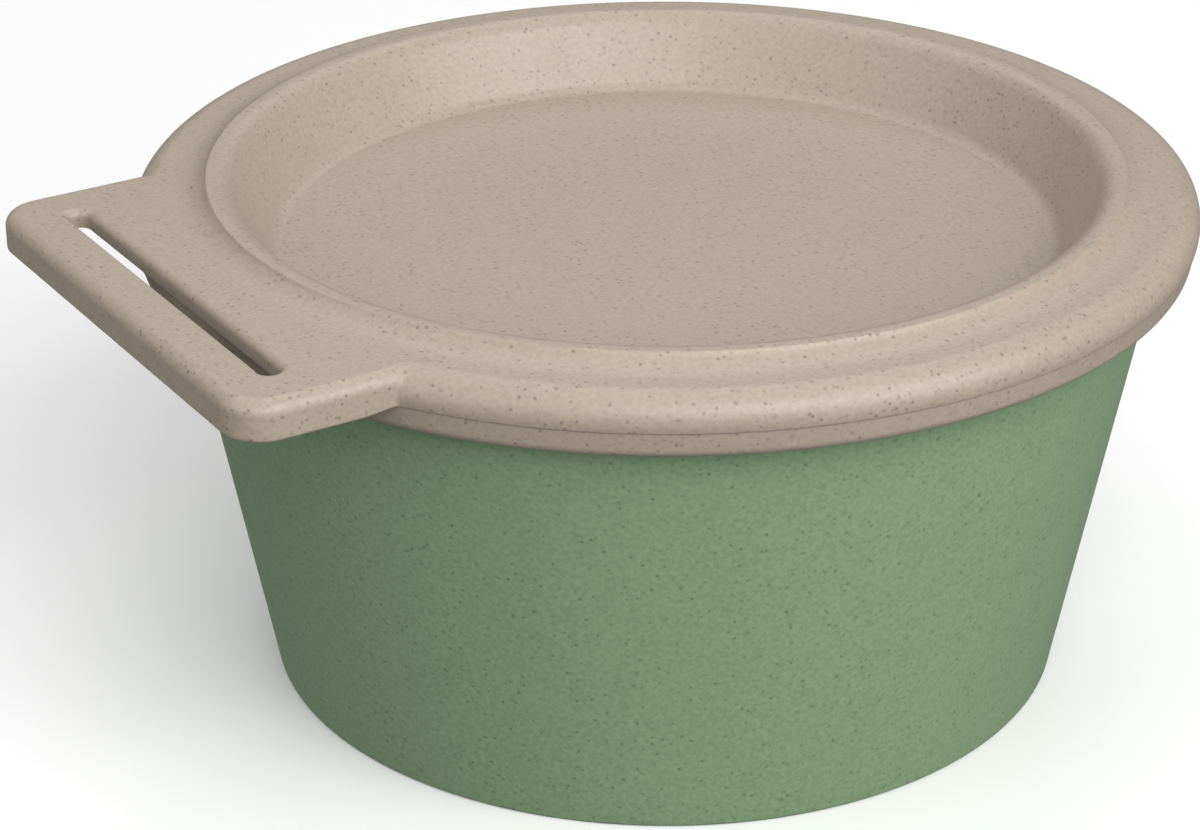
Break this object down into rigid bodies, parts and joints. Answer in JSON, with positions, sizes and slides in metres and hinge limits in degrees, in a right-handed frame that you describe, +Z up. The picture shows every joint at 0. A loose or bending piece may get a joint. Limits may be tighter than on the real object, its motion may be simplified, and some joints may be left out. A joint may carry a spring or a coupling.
{
  "type": "go stone bowl with lift-off lid",
  "caption": "Tapered round bowl for go stones with a lift-off dished lid that has a slotted side handle.",
  "frame": {"origin": "centre of the bowl's underside, on the bowl's axis, at the level it rests on", "axes": "+Z up along the bowl's axis, the lid's handle points along -X"},
  "size_m": [0.1608, 0.15, 0.0742],
  "materials": {
    "bowl_plastic": "satin, finely flecked green",
    "lid_plastic": "satin, finely flecked beige"
  },
  "bodies": {
    "bowl": {"bowl": "bowl_plastic"},
    "lid": {"lid": "lid_plastic"}
  },
  "joints": [
    {"name": "lid_lift", "type": "slide", "parent": "bowl", "child": "lid", "axis": [0, 0, 1], "range_m": [0, 0.1]}
  ]
}
